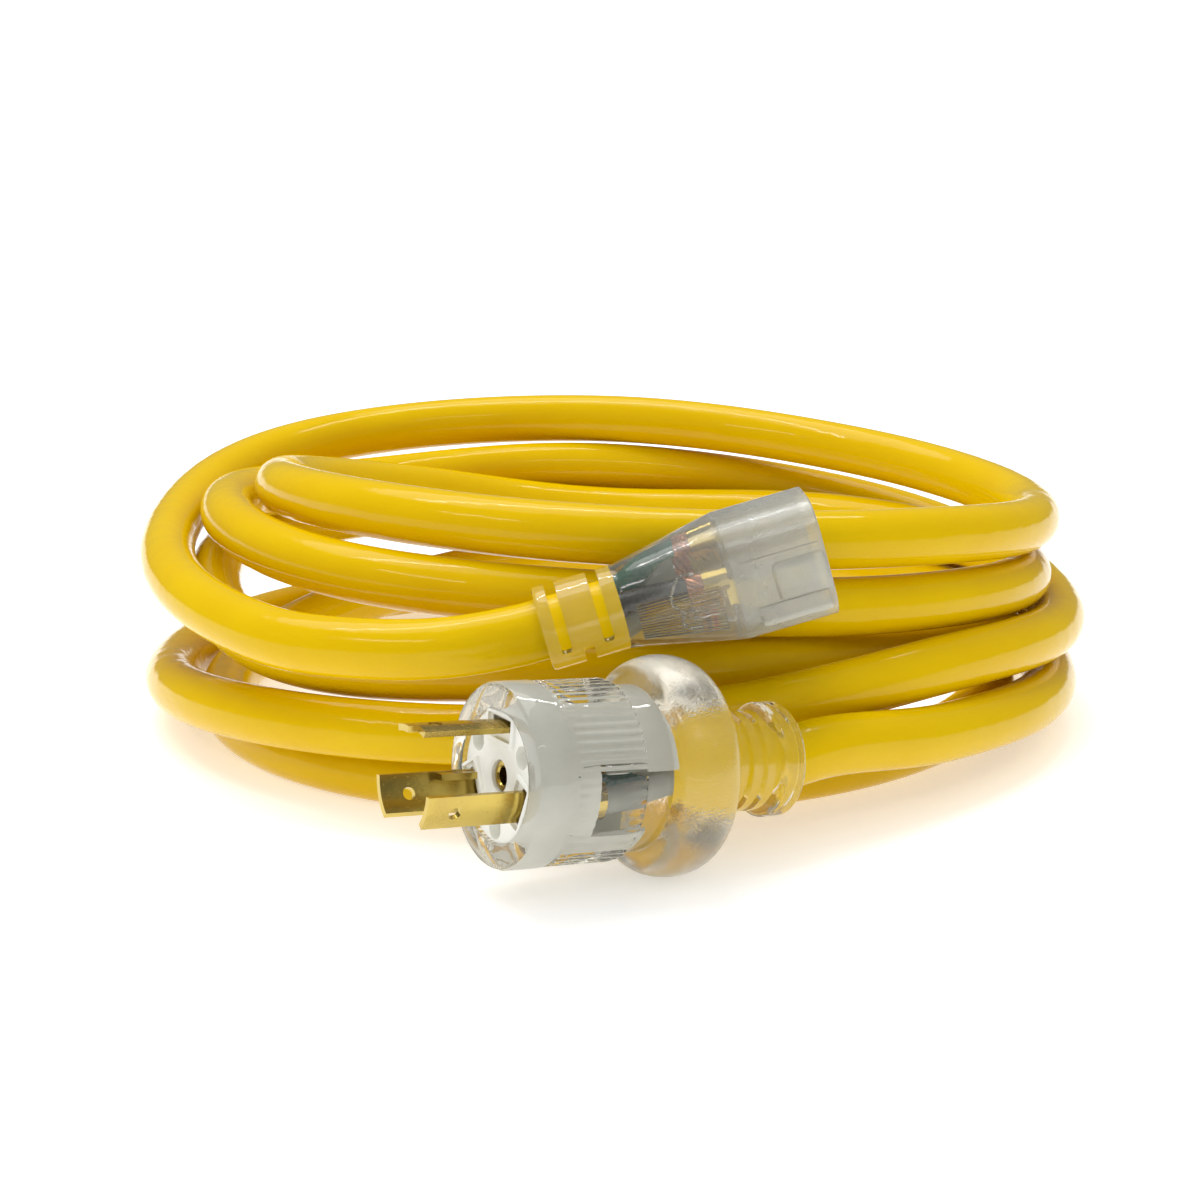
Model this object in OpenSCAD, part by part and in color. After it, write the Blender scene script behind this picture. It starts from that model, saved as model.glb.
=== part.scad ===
// Power cord, 30 A locking plug to a single outlet, lying in its own loose coil.
// Millimetres, +Z up. Z = 0 is the surface that the plug's flange and the lowest
// turns lie on. The origin is at the bottom centre of the box round plug and outlet.

/* [Cable] */
// Outside diameter of the jacket
cable_d = 15; // [14:0.25:15]
// Outside diameter of one insulated conductor
conductor_d = 4.8; // [4:0.1:5]
// Distance of the conductors from the cable's axis
conductor_lay = 2.9; // [2.9:0.1:4]

/* [Plug body] */
// Diameter of the barrel behind the face
plug_barrel_d = 42.8; // [42:0.2:44]
// Length of the smooth ring at the face
plug_ring_len = 9; // [7:0.5:11]
// Length of the fluted grip band
plug_band_len = 19; // [14:1:22]
// Number of flutes round the grip band
plug_flutes = 60; // [30:2:72]
// Depth of the flutes
plug_flute_depth = 0.6; // [0.3:0.1:1]
// Diameter of the neck between band and flange
plug_neck_d = 39; // [38:0.5:41]
// Length of the neck
plug_neck_len = 8; // [5:1:12]
// Diameter of the rounded flange
plug_flange_d = 52; // [50:1:58]
// Thickness of the rounded flange
plug_flange_len = 16; // [14:1:20]
// Length of the strain relief behind the flange
plug_relief_len = 24.5; // [20:0.5:32]
// Outside diameter of the strain relief's ribs
plug_relief_d = 24; // [23:0.5:26]
// Diameter of the collar that ends the strain relief
plug_collar_d = 27.4; // [26:0.2:30]
// Number of grooves in the strain relief
plug_relief_grooves = 4; // [2:1:5]

/* [Plug inside] */
// Width of the white insert's rim outside the blades
plug_insert_rim = 2.55; // [2.4:0.05:3]
// Depth of the insert's solid front
plug_insert_len = 12; // [12:1:16]
// Length of the half shell behind the insert's front
plug_shell_len = 30; // [20:1:30]
// Radius of the circle that the blades stand on
blade_circle_r = 12.2; // [11.6:0.1:12.6]
// Width of the line and neutral blades
blade_w = 8; // [7:0.1:8.4]
// Width of the ground blade
ground_blade_w = 9.8; // [8.4:0.1:10.2]
// Thickness of the blades
blade_t = 1.5; // [1.2:0.1:1.8]
// Length of the blades in front of the face
blade_len = 23; // [20:0.5:28]
// Diameter of the hole near each blade's tip
blade_hole_d = 3; // [2:0.2:4]
// Radius of the hole in the middle of the face
face_hole_r = 3.8; // [3:0.2:4.4]

/* [Outlet body] */
// Diameter of the boot round the cable
boot_d = 20.8; // [19:0.2:22]
// Length of the boot
boot_len = 21; // [18:1:26]
// Length of the flare from the boot to the full body
flare_len = 26; // [24:1:32]
// Length of the full body up to the face
head_len = 22.5; // [22:0.5:28]
// Height of the body
head_h = 29.5; // [29:0.5:34]
// Width of the body
head_w = 28; // [28:0.5:32]
// Radius of the body's long corners
head_corner_r = 8.5; // [6:0.5:10]
// Thickness of the face that the slots go through
face_wall = 3; // [2:0.5:3]

/* [Outlet inside] */
// Distance between the line and neutral slots
slot_spacing = 12.7; // [12.7:0.1:13]
// Drop of the line and neutral slots below the body's axis
slot_drop = 3.5; // [3:0.1:4]
// Height of the ground socket above the slots
ground_rise = 11.9; // [11.9:0.1:12.1]
// Inside radius of the ground socket's sleeve
ground_socket_r = 2.5; // [2.5:0.05:2.6]
// Length of the ground socket's sleeve
ground_socket_len = 16; // [12:1:17]
// Thickness of the brass leaves
leaf_t = 0.6; // [0.4:0.1:0.7]
// Width of the gap between two leaves, where a blade goes
leaf_gap = 1.5; // [1.4:0.1:1.7]
// Diameter of the lamp's glass bulb
lamp_d = 4.6; // [4:0.2:5]
// Length of the lamp's glass bulb
lamp_len = 8; // [6:0.5:9]

/* [Hidden] */

// ---- where things lie ----
// Middle of the coil on the surface
coil_centre = [-3.7, 149.2, 0];
// Plug: middle of its face, turn about Z, and how far its nose is raised
plug_face_xy = [-27.5, -23.2];
plug_yaw = 30.5;
plug_tilt = 5.6;
// Outlet: end of its boot, turn about Z, and how far its face is raised
outlet_boot_end = [-17.7, 25.2, 52];
outlet_yaw = 5;
outlet_tilt = 15.5;

// ---- coil: reach from the coil's middle and height of the cable's centre ----
// Each row is one turn, an eighth of a turn apart, clockwise from above:
// front left, left, rear left, rear, rear right, right, front right, front.
// The lowest turns are 6 high, because the cable's underside is cut flat there.
turns = [
    [[128, 44.5], [121.5, 51], [128, 59.5], [113, 63], [115, 58], [123, 55.5], [112, 65], [97, 69.5]],
    [[90, 70], [90.5, 64], [89, 50], [95, 36], [106, 38], [120.5, 40], [113, 48], [100, 53.5]],
    [[102, 56], [106, 58], [106, 49], [107, 48.5], [127, 38], [131, 28], [122, 33], [118, 24.5]],
    [[123, 20], [122, 11], [123, 8], [121, 6], [116.5, 6], [112, 6], [109, 6], [108, 6]],
    [[112, 6], [106, 6], [106, 12], [106, 20], [107.5, 22], [113, 24.5], [104, 33], [105, 37]],
    [[114, 34], [109, 41], [119, 36], [122, 33], [127, 22], [128, 12], [129, 17.5]]
];
coil_start_angle = 225;
eighth = 45;
rings_per_turn = 24;
coil_sides = 6;
coil_cut = cable_d / 10;
coil_reach = 200;
// Free leads between the coil's straight ends and the two mouldings,
// measured from the coil's middle
outlet_lead_points = [[-66, -112.5, 44.8], [-50, -120, 45.6], [-36, -123.6, 47], [-23.6, -124.8, 49.3]];
plug_lead_points = [[71.5, -110.5, 20.5], [62, -118.7, 22], [52.3, -126.3, 23.8]];
lead_sides = 12;
rings_per_step = 2;

// ---- sizes that follow from the ones above ----
mould_gap = 0.05;
run_gap = 0.15;
round_steps = 96;
small_round_steps = 48;
corner_steps = 32;
wire_steps = 8;
wire_sides = 12;
bundle_sides = 12;
cable_r = cable_d / 2;
flange_start = plug_ring_len + plug_band_len + plug_neck_len;
flange_mid = flange_start + plug_flange_len / 2;
relief_start = flange_start + plug_flange_len;
plug_len = relief_start + plug_relief_len;
collar_len = 6;
plug_face_z = plug_flange_d / 2 * cos(plug_tilt) + flange_mid * sin(plug_tilt);
plug_face = [plug_face_xy[0], plug_face_xy[1], plug_face_z];
plug_axis = [cos(plug_yaw) * cos(plug_tilt), sin(plug_yaw) * cos(plug_tilt), -sin(plug_tilt)];
outlet_axis = [cos(outlet_yaw) * cos(outlet_tilt), sin(outlet_yaw) * cos(outlet_tilt), sin(outlet_tilt)];
plug_insert_r = blade_circle_r + blade_t / 2 + plug_insert_rim;
insert_front = 1;
insert_back = insert_front + plug_insert_len;
shell_back = insert_back + plug_shell_len;
plug_jacket_at = shell_back + 1;
plug_room_r = plug_insert_r + mould_gap;
barrel_r = 3.2;
barrel_bore_r = 2.3;
barrel_len = 7;
barrel_circle_r = 9;
barrel_start = insert_back + 1;
blade_end = insert_back + 0.6;
blade_neck_w = 3.2;
blade_hole_from_tip = 7;
tip_step_len = 2.5;
fold_depth = 4;
fold_inset = 0.2;
fold_from = 14 - blade_len;
fold_end = insert_front + 10;
face_hole_len = 10;
dimple_r = 2.7;
dimple_depth = 2;
dimple_angles = [30, 146, 268];
shell_t = 1.6;
shell_from = -2;
shell_angle = 170;
line_angle = 90;
neutral_angle = 200;
ground_angle = 330;
head_start = boot_len + flare_len;
outlet_len = head_start + head_len;
outlet_jacket_at = boot_len - 1;
room_r = 11.6;
room_start = boot_len + 15;
body_wall = 2.5;
carrier_back = outlet_len - face_wall;
contact_back = head_start + 1;
slot_y = -slot_drop;
ground_y = ground_rise - slot_drop;
slot_w = leaf_gap + 0.7;
slot_h = 8.4;
slot_bar_w = 4.6;
slot_bar_shift = 1.6;
leaf_w = 7.4;
leaf_back_t = 1.5;
outlet_barrel_at = head_start - 7;
outlet_barrel_r = barrel_r - 0.3;
outlet_barrel_len = 6;
outlet_barrel_floor = 1;
outlet_neck = 1.2;
// Crimp barrels of the line and neutral contacts stand above their slots
line_barrel = [-slot_spacing / 2, slot_y + 5.5];
neutral_barrel = [slot_spacing / 2, slot_y + 5.5];
ground_barrel = [0, ground_y];
lamp_at = [-7.2, -3.6, head_start - lamp_len - 3];
lamp_wall = 0.5;
lamp_lead_shift = 0.8;
lamp_lead_r = 0.35;
lamp_sides = 8;
resistor_at = [-6.2, -7.6, head_start - 9.5];
resistor_r = 1.1;
resistor_len = 6;

// ---- curve and tube functions ----
function blend(a, b, c, d, t) =
    b + 0.5 * t * ((c - a) + t * ((2 * a - 5 * b + 4 * c - d) + t * (3 * (b - c) + d - a)));
function before(list, i) = i > 0 ? list[i - 1] : 2 * list[0] - list[1];
function after(list, i) = i < len(list) - 1 ? list[i + 1] : 2 * list[i] - list[i - 1];
function along(list, i, t) = blend(before(list, i), list[i], list[i + 1], after(list, i + 1), t);
function curve(list, steps) = [
    for (i = [0 : len(list) - 2], k = [0 : steps - 1]) along(list, i, k / steps),
    list[len(list) - 1]];
function unit(v) = v / norm(v);
function heading(path, i) = unit(path[min(i + 1, len(path) - 1)] - path[max(i - 1, 0)]);

// ---- the coil's centre line ----
stations = [for (turn = turns, station = turn) station];
rings_per_eighth = rings_per_turn / 8;
coil_polar = curve(stations, rings_per_eighth);
coil_arc = [for (i = [0 : len(coil_polar) - 1])
    let (angle = coil_start_angle - eighth * i / rings_per_eighth, reach = coil_polar[i][0])
    coil_centre + [reach * cos(angle), reach * sin(angle), max(coil_polar[i][1], cable_r - coil_cut)]];
coil_last = len(coil_arc) - 1;
coil_in = coil_arc[0] - cable_d * unit(coil_arc[1] - coil_arc[0]);
coil_out = coil_arc[coil_last] + cable_d * unit(coil_arc[coil_last] - coil_arc[coil_last - 1]);
coil_path = concat([coil_in], coil_arc, [coil_out]);

plug_relief_end = plug_face + plug_len * plug_axis;
plug_lead = curve(concat([coil_out], [for (p = plug_lead_points) coil_centre + p], [plug_relief_end]),
                  rings_per_step);
outlet_lead = curve(concat([coil_in], [for (p = outlet_lead_points) coil_centre + p], [outlet_boot_end]),
                    rings_per_step);

function span(path) = [for (i = 0, s = 0; i < len(path); s = s + (i < len(path) - 1
    ? norm(path[i + 1] - path[i]) : 0), i = i + 1) s];
coil_span = span(coil_path);
lead_span = span(plug_lead)[len(plug_lead) - 1] + span(outlet_lead)[len(outlet_lead) - 1];
covered = plug_len - plug_jacket_at + outlet_jacket_at;
cable_length = coil_span[len(coil_span) - 1] + lead_span + covered;

// Least gap between stretches of the coil that are over five diameters apart along it
least_gap = min([for (i = [0 : len(coil_path) - 1], j = [i + 1 : len(coil_path) - 1])
    if (coil_span[min(j, len(coil_path) - 1)] - coil_span[i] > 5 * cable_d)
        norm(coil_path[j] - coil_path[i])]) - cable_d;
echo(cable_length_mm = cable_length, coil_least_gap_mm = least_gap);

// A tube round a path, square at both ends. first and last are the headings that
// its end faces look along, and across is any direction that the path never takes.
module tube(path, radius, sides, first, last, across = [0, 0, 1]) {
    count = len(path);
    points = [for (i = [0 : count - 1])
        let (ahead = i == 0 ? first : i == count - 1 ? last : heading(path, i),
             side = unit(cross(across, ahead)),
             up = cross(ahead, side))
        for (k = [0 : sides - 1])
            let (a = 360 * k / sides + 90)
            path[i] + radius * (cos(a) * side + sin(a) * up)];
    walls = [for (i = [0 : count - 2], k = [0 : sides - 1])
        let (a = i * sides + k, b = i * sides + (k + 1) % sides, c = a + sides, d = b + sides)
        each [[a, c, b], [b, c, d]]];
    start = [for (k = [1 : sides - 2]) [0, k, k + 1]];
    base = (count - 1) * sides;
    end = [for (k = [1 : sides - 2]) [base, base + k + 1, base + k]];
    polyhedron(points, concat(start, walls, end));
}

module on_plug() {
    translate(plug_face) rotate([0, 90 + plug_tilt, plug_yaw]) rotate([0, 0, 90]) children();
}

module on_outlet() {
    translate(outlet_boot_end) rotate([0, 90 - outlet_tilt, outlet_yaw]) rotate([0, 0, 90]) children();
}

module rod(from, to, radius) {
    run = to - from;
    translate(from)
        rotate([0, acos(run[2] / norm(run)), atan2(run[1], run[0])])
            cylinder(r = radius, h = norm(run), $fn = lamp_sides);
}

// An insulated wire that leaves and arrives along the axis of the moulding it is in
module wire(from, to) {
    lead = [0, 0, 1.2];
    reach = to - from;
    points = [for (k = [0 : wire_steps])
        let (t = k / wire_steps, shift = (1 - cos(180 * t)) / 2)
        from + lead + [reach[0] * shift, reach[1] * shift, (reach[2] - 2 * lead[2]) * t]];
    tube(concat([from], points, [to]), conductor_d / 2, wire_sides, [0, 0, 1], [0, 0, 1], [1, 0, 0]);
}

function polar(radius, angle, z) = [radius * cos(angle), radius * sin(angle), z];

// ---- cable ----
module cable_coil() {
    color("gold")
        difference() {
            tube(coil_path, cable_r, coil_sides, unit(coil_path[1] - coil_path[0]),
                 unit(coil_path[len(coil_path) - 1] - coil_path[len(coil_path) - 2]));
            translate([coil_centre[0] - coil_reach, coil_centre[1] - coil_reach, -cable_d])
                cube([2 * coil_reach, 2 * coil_reach, cable_d]);
        }
}

module cable_plug_lead() {
    color("gold")
        tube(plug_lead, cable_r, lead_sides, unit(coil_out - coil_arc[coil_last]), -plug_axis);
}

module cable_outlet_lead() {
    color("gold")
        tube(outlet_lead, cable_r, lead_sides, unit(coil_in - coil_arc[0]), outlet_axis);
}

// ---- plug ----
// Grooves along the strain relief, as points from the flange to the collar
function relief_outline() =
    let (start = relief_start + 2, stop = plug_len - collar_len,
         pitch = (stop - start) / plug_relief_grooves,
         rib = plug_relief_d / 2, groove = rib - 1.4)
    [for (i = [0 : plug_relief_grooves - 1])
        let (z = start + i * pitch)
        each [[rib, z], [groove, z + pitch * 0.5]]];

// Half round outline of the flange
function flange_outline() =
    let (low = plug_neck_d / 2 - 1, high = plug_flange_d / 2, half = plug_flange_len / 2)
    [for (a = [-80, -45, 0, 45, 80])
        let (bulge = cos(a))
        [low + (high - low) * pow(bulge, 0.6), flange_mid + half * sin(a)]];

module plug_body() {
    barrel = plug_barrel_d / 2;
    band_start = plug_ring_len + 1;
    band_end = plug_ring_len + plug_band_len;
    collar = plug_collar_d / 2;
    front = [[plug_room_r, 0], [barrel - 1, 0], [barrel, 1], [barrel, plug_ring_len],
             [barrel - 0.8, plug_ring_len], [barrel - 0.8, band_end], [plug_neck_d / 2, band_end],
             [plug_neck_d / 2, flange_start + 0.1]];
    rear = [[collar, plug_len - collar_len], [collar, plug_len], [cable_r, plug_len],
            [cable_r, plug_jacket_at], [plug_room_r, plug_jacket_at]];
    color([0.93, 0.94, 0.92, 0.45])
        on_plug() {
            rotate_extrude($fn = round_steps)
                polygon(concat(front, flange_outline(), [[plug_relief_d / 2 + 1, relief_start]],
                               relief_outline(), rear));
            translate([0, 0, band_start])
                linear_extrude(band_end - band_start)
                    flute_ring(barrel, barrel - 1.2);
        }
}

// Ring with fine lengthwise ribs outside
module flute_ring(outer, inner) {
    step = 360 / plug_flutes;
    difference() {
        polygon([for (i = [0 : plug_flutes - 1])
            let (a = i * step, root = outer - plug_flute_depth)
            each [[outer * cos(a), outer * sin(a)],
                  [outer * cos(a + step * 0.55), outer * sin(a + step * 0.55)],
                  [root * cos(a + step * 0.65), root * sin(a + step * 0.65)],
                  [root * cos(a + step * 0.9), root * sin(a + step * 0.9)]]]);
        circle(r = inner, $fn = round_steps);
    }
}

// Half the angle that a blade takes of the blade circle
function half_angle(width) = width / blade_circle_r * 90 / PI;

// Curved flat strip on the blade circle, from one height to another
module blade_strip(angle, width, thick, from, to, grow = 0) {
    edge = half_angle(width + 2 * grow);
    rotate([0, 0, angle - edge])
        translate([0, 0, from])
            rotate_extrude(angle = 2 * edge, $fn = round_steps)
                translate([blade_circle_r - thick / 2 - grow, 0])
                    square([thick + 2 * grow, to - from]);
}

// Neck and crimp barrel behind the insert
module blade_tail(angle) {
    neck_out = blade_circle_r + 0.4;
    neck_in = barrel_circle_r + barrel_bore_r - 0.6;
    rotate([0, 0, angle])
        difference() {
            union() {
                translate([barrel_circle_r, 0, barrel_start])
                    cylinder(r = barrel_r, h = barrel_len, $fn = bundle_sides);
                translate([neck_in, -blade_neck_w / 2, insert_back + 0.1])
                    cube([neck_out - neck_in, blade_neck_w, barrel_start - insert_back + 0.9]);
            }
            translate([barrel_circle_r, 0, barrel_start - 0.1])
                cylinder(r = barrel_bore_r + 0.02, h = barrel_len + 0.2, $fn = bundle_sides);
        }
}

module blade_hole(angle) {
    rotate([0, 0, angle])
        translate([0, 0, blade_hole_from_tip - blade_len])
            rotate([0, 90, 0])
                cylinder(d = blade_hole_d, h = 2 * blade_circle_r, $fn = small_round_steps);
}

module plain_blade(angle) {
    color("darkgoldenrod")
        on_plug() {
            difference() {
                blade_strip(angle, blade_w, blade_t, -blade_len, blade_end);
                blade_hole(angle);
            }
            blade_tail(angle);
        }
}

module plug_neutral_blade() {
    plain_blade(neutral_angle);
}

// The line blade has a step in its tip
module plug_line_blade() {
    step_w = blade_w * 0.4;
    color("darkgoldenrod")
        on_plug() {
            difference() {
                blade_strip(line_angle, blade_w, blade_t, -blade_len, blade_end);
                blade_hole(line_angle);
                rotate([0, 0, line_angle])
                    translate([blade_circle_r - 2 * blade_t, blade_w / 2 - step_w, -blade_len - 1])
                        cube([4 * blade_t, step_w + 1, tip_step_len + 1]);
            }
            blade_tail(line_angle);
        }
}

// The ground blade has a flange folded inwards along one edge
module plug_ground_blade() {
    color("darkgoldenrod")
        on_plug() {
            difference() {
                blade_strip(ground_angle, ground_blade_w, blade_t, -blade_len, blade_end);
                blade_hole(ground_angle);
            }
            rotate([0, 0, ground_angle + half_angle(ground_blade_w)])
                translate([blade_circle_r - fold_depth, -blade_t - fold_inset, fold_from])
                    cube([fold_depth, blade_t, fold_end - fold_from]);
            blade_tail(ground_angle);
        }
}

module plug_insert() {
    shell_r = plug_insert_r - 0.8;
    color("whitesmoke")
        on_plug() {
            difference() {
                translate([0, 0, insert_front])
                    cylinder(r = plug_insert_r, h = plug_insert_len, $fn = round_steps);
                translate([0, 0, -1])
                    cylinder(r = face_hole_r, h = face_hole_len + insert_front + 1, $fn = small_round_steps);
                for (a = dimple_angles)
                    rotate([0, 0, a])
                        translate([blade_circle_r - 0.2, 0, -1])
                            cylinder(r = dimple_r, h = dimple_depth + insert_front + 1,
                                     $fn = small_round_steps);
                blade_strip(line_angle, blade_w, blade_t, 0, insert_back + 1, mould_gap);
                blade_strip(neutral_angle, blade_w, blade_t, 0, insert_back + 1, mould_gap);
                blade_strip(ground_angle, ground_blade_w, blade_t, 0, insert_back + 1, mould_gap);
                rotate([0, 0, ground_angle + half_angle(ground_blade_w)])
                    translate([blade_circle_r - fold_depth - mould_gap, -blade_t - fold_inset - mould_gap, 0])
                        cube([fold_depth, blade_t + 2 * mould_gap, fold_end + mould_gap]);
            }
            // half shell over the wires, open towards the underside
            translate([0, 0, insert_back - 0.5])
                rotate([0, 0, shell_from])
                    rotate_extrude(angle = shell_angle, $fn = round_steps)
                        translate([shell_r - shell_t, 0])
                            square([shell_t, plug_shell_len + 0.5]);
        }
}

module plug_wire(angle, tint) {
    color(tint)
        on_plug()
            wire(polar(barrel_circle_r, angle, barrel_start + barrel_len),
                 polar(conductor_lay, wire_angle(angle), plug_jacket_at));
}

// Conductors leave the jacket a third of a turn apart
function wire_angle(angle) = line_angle + 120 * round((angle - line_angle) / 120);

module plug_line_wire() {
    plug_wire(line_angle, [0.12, 0.12, 0.12]);
}

module plug_neutral_wire() {
    plug_wire(neutral_angle, "lightgray");
}

module plug_ground_wire() {
    plug_wire(ground_angle, "seagreen");
}

module plug_wire_strands() {
    color("peru")
        on_plug()
            for (a = [line_angle, neutral_angle, ground_angle])
                translate(polar(barrel_circle_r, a, barrel_start + 1))
                    cylinder(r = barrel_bore_r, h = barrel_len - 1, $fn = bundle_sides);
}

module plug_jacket_end() {
    color("gold")
        on_plug()
            translate([0, 0, plug_jacket_at])
                cylinder(r = cable_r, h = plug_len - plug_jacket_at, $fn = round_steps);
}

// ---- outlet ----
// A block on the body's axis with its outline set in by inset, round at the corners
module head_block(inset, thick) {
    wide = head_w - 2 * inset;
    high = head_h - 2 * inset;
    corner = head_corner_r - inset;
    translate([-wide / 2, corner - high / 2, 0]) cube([wide, high - 2 * corner, thick]);
    translate([corner - wide / 2, -high / 2, 0]) cube([wide - 2 * corner, high, thick]);
    for (x = [corner - wide / 2, wide / 2 - corner], y = [corner - high / 2, high / 2 - corner])
        translate([x, y, 0]) cylinder(r = corner, h = thick, $fn = corner_steps);
}

module blade_slots(from, to, grow) {
    deep = to - from;
    for (x = [-slot_spacing / 2, slot_spacing / 2])
        translate([x, slot_y, from + deep / 2])
            cube([slot_w + grow, slot_h + grow, deep], center = true);
    // cross bar of the T slot
    translate([slot_spacing / 2 + slot_bar_shift, slot_y, from + deep / 2])
        cube([slot_bar_w + grow, slot_w + grow, deep], center = true);
}

// Staggered half ring cuts that let the boot bend
module boot_cuts() {
    cut = 2.6;
    cut_h = 3.6;
    first_cut = 4.5;
    cut_pitch = 5.2;
    for (i = [0 : 2])
        let (up = i % 2 == 0 ? 1 : -1)
        translate([0, up * (boot_d / 2 - 0.4), first_cut + i * cut_pitch])
            cube([boot_d, cut_h, cut], center = true);
}

module outlet_body() {
    slice = 0.5;
    lip = 0.8;
    color([0.93, 0.94, 0.92, 0.45])
        on_outlet()
            difference() {
                union() {
                    cylinder(d = boot_d, h = boot_len, $fn = round_steps);
                    hull() {
                        translate([0, 0, boot_len - slice])
                            cylinder(d = boot_d + 0.6, h = slice, $fn = corner_steps);
                        translate([0, 0, head_start]) head_block(0.1, slice);
                    }
                    translate([0, 0, head_start]) head_block(0, head_len - lip);
                    translate([0, 0, outlet_len - lip - slice]) head_block(lip / 2, lip + slice);
                }
                boot_cuts();
                translate([0, 0, -1]) cylinder(r = cable_r, h = outlet_jacket_at + 1, $fn = round_steps);
                translate([0, 0, outlet_jacket_at - 0.01])
                    cylinder(r1 = cable_r - 0.4, r2 = room_r + 0.2, h = room_start - outlet_jacket_at + 0.01,
                             $fn = bundle_sides);
                translate([0, 0, room_start - 0.01])
                    cylinder(r = room_r, h = head_start - room_start + 1, $fn = round_steps);
                translate([0, 0, head_start])
                    head_block(body_wall, carrier_back - head_start);
                blade_slots(carrier_back - 1, outlet_len + 1, 0);
                translate([0, ground_y, carrier_back - 1])
                    cylinder(r = ground_socket_r, h = face_wall + 2, $fn = small_round_steps);
            }
}

module outlet_insert() {
    deep = carrier_back - head_start - 2 * mould_gap;
    slot_grow = 1.6;
    color("ivory")
        on_outlet()
            difference() {
                translate([0, 0, head_start + mould_gap])
                    head_block(body_wall + mould_gap, deep);
                blade_slots(head_start - 1, outlet_len, slot_grow);
                translate([0, ground_y, head_start - 1])
                    cylinder(r = ground_socket_r + leaf_t + run_gap, h = outlet_len, $fn = small_round_steps);
            }
}

// Crimp barrel of a contact, with its floor towards the face
module outlet_barrel(at) {
    deep = outlet_barrel_len - outlet_barrel_floor;
    translate([at[0], at[1], outlet_barrel_at])
        difference() {
            cylinder(r = outlet_barrel_r, h = outlet_barrel_len, $fn = bundle_sides);
            translate([0, 0, -0.1]) cylinder(r = barrel_bore_r + 0.02, h = deep, $fn = bundle_sides);
        }
}

// Folded brass leaves that grip a blade, with the crimp barrel behind
module slot_contact(barrel) {
    outer = leaf_gap + 2 * leaf_t;
    contact_len = carrier_back - contact_back - 1;
    neck_start = outlet_barrel_at + outlet_barrel_len - outlet_barrel_floor;
    color("goldenrod")
        on_outlet() {
            translate([barrel[0], slot_y, 0]) {
                difference() {
                    translate([-outer / 2, -leaf_w / 2, contact_back]) cube([outer, leaf_w, contact_len]);
                    translate([-leaf_gap / 2, -leaf_w / 2 - 1, contact_back + leaf_back_t])
                        cube([leaf_gap, leaf_w + 2, contact_len]);
                }
                translate([-outlet_neck, -outlet_neck, neck_start])
                    cube([2 * outlet_neck, outlet_neck + slot_h / 2 + 0.5, contact_back + 0.5 - neck_start]);
            }
            outlet_barrel(barrel);
        }
}

module outlet_line_contact() {
    slot_contact(line_barrel);
}

module outlet_neutral_contact() {
    slot_contact(neutral_barrel);
}

module outlet_ground_contact() {
    sleeve_r = ground_socket_r + leaf_t;
    sleeve_start = carrier_back - run_gap - ground_socket_len;
    sleeve_floor = 1;
    neck_start = outlet_barrel_at + outlet_barrel_len - outlet_barrel_floor;
    color("goldenrod")
        on_outlet() {
            translate([0, ground_y, 0]) {
                difference() {
                    translate([0, 0, sleeve_start - sleeve_floor])
                        cylinder(r = sleeve_r, h = ground_socket_len + sleeve_floor, $fn = small_round_steps);
                    translate([0, 0, sleeve_start])
                        cylinder(r = ground_socket_r, h = ground_socket_len + 1, $fn = small_round_steps);
                }
                translate([-outlet_neck, -outlet_neck, neck_start])
                    cube([2 * outlet_neck, 2 * outlet_neck, sleeve_start - sleeve_floor / 2 - neck_start]);
            }
            outlet_barrel(ground_barrel);
        }
}

module outlet_wire(barrel, angle, tint) {
    color(tint)
        on_outlet()
            wire(polar(conductor_lay, angle, outlet_jacket_at), [barrel[0], barrel[1], outlet_barrel_at]);
}

module outlet_line_wire() {
    outlet_wire(line_barrel, 160, [0.12, 0.12, 0.12]);
}

module outlet_neutral_wire() {
    outlet_wire(neutral_barrel, 280, "lightgray");
}

module outlet_ground_wire() {
    outlet_wire(ground_barrel, 40, "seagreen");
}

module outlet_wire_strands() {
    color("peru")
        on_outlet()
            for (p = [line_barrel, neutral_barrel, ground_barrel])
                translate([p[0], p[1], outlet_barrel_at + 0.2])
                    cylinder(r = barrel_bore_r, h = outlet_barrel_len - outlet_barrel_floor - 0.5,
                             $fn = bundle_sides);
}

module outlet_jacket_end() {
    color("gold")
        on_outlet()
            cylinder(r = cable_r, h = outlet_jacket_at, $fn = round_steps);
}

// ---- power lamp ----
module lamp_bulb() {
    color([0.95, 0.9, 0.85, 0.5])
        on_outlet()
            translate(lamp_at)
                difference() {
                    cylinder(d = lamp_d, h = lamp_len, $fn = small_round_steps);
                    translate([0, 0, lamp_wall])
                        cylinder(d = lamp_d - 2 * lamp_wall, h = lamp_len - 2 * lamp_wall,
                                 $fn = small_round_steps);
                }
}

module lamp_electrodes() {
    color("lightslategray")
        on_outlet()
            for (side = [-lamp_lead_shift, lamp_lead_shift])
                translate(lamp_at + [side, 0, lamp_wall])
                    cylinder(r = 0.4, h = lamp_len - 2, $fn = lamp_sides);
}

module lamp_resistor() {
    color("orange")
        on_outlet()
            translate(resistor_at) cylinder(r = resistor_r, h = resistor_len, $fn = small_round_steps);
}

module lamp_leads() {
    near = lamp_at - [lamp_lead_shift, 0, 0];
    far = lamp_at + [lamp_lead_shift, 0, 0];
    turn_at = lamp_at[2] - 2;
    link_at = turn_at + lamp_lead_r;
    color("silver")
        on_outlet() {
            rod([near[0], near[1], turn_at], near, lamp_lead_r);
            rod([far[0], far[1], turn_at], far, lamp_lead_r);
            rod([resistor_at[0], resistor_at[1], turn_at], resistor_at, lamp_lead_r);
            rod([far[0], far[1], link_at], [resistor_at[0], resistor_at[1], link_at], lamp_lead_r);
        }
}

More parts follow.
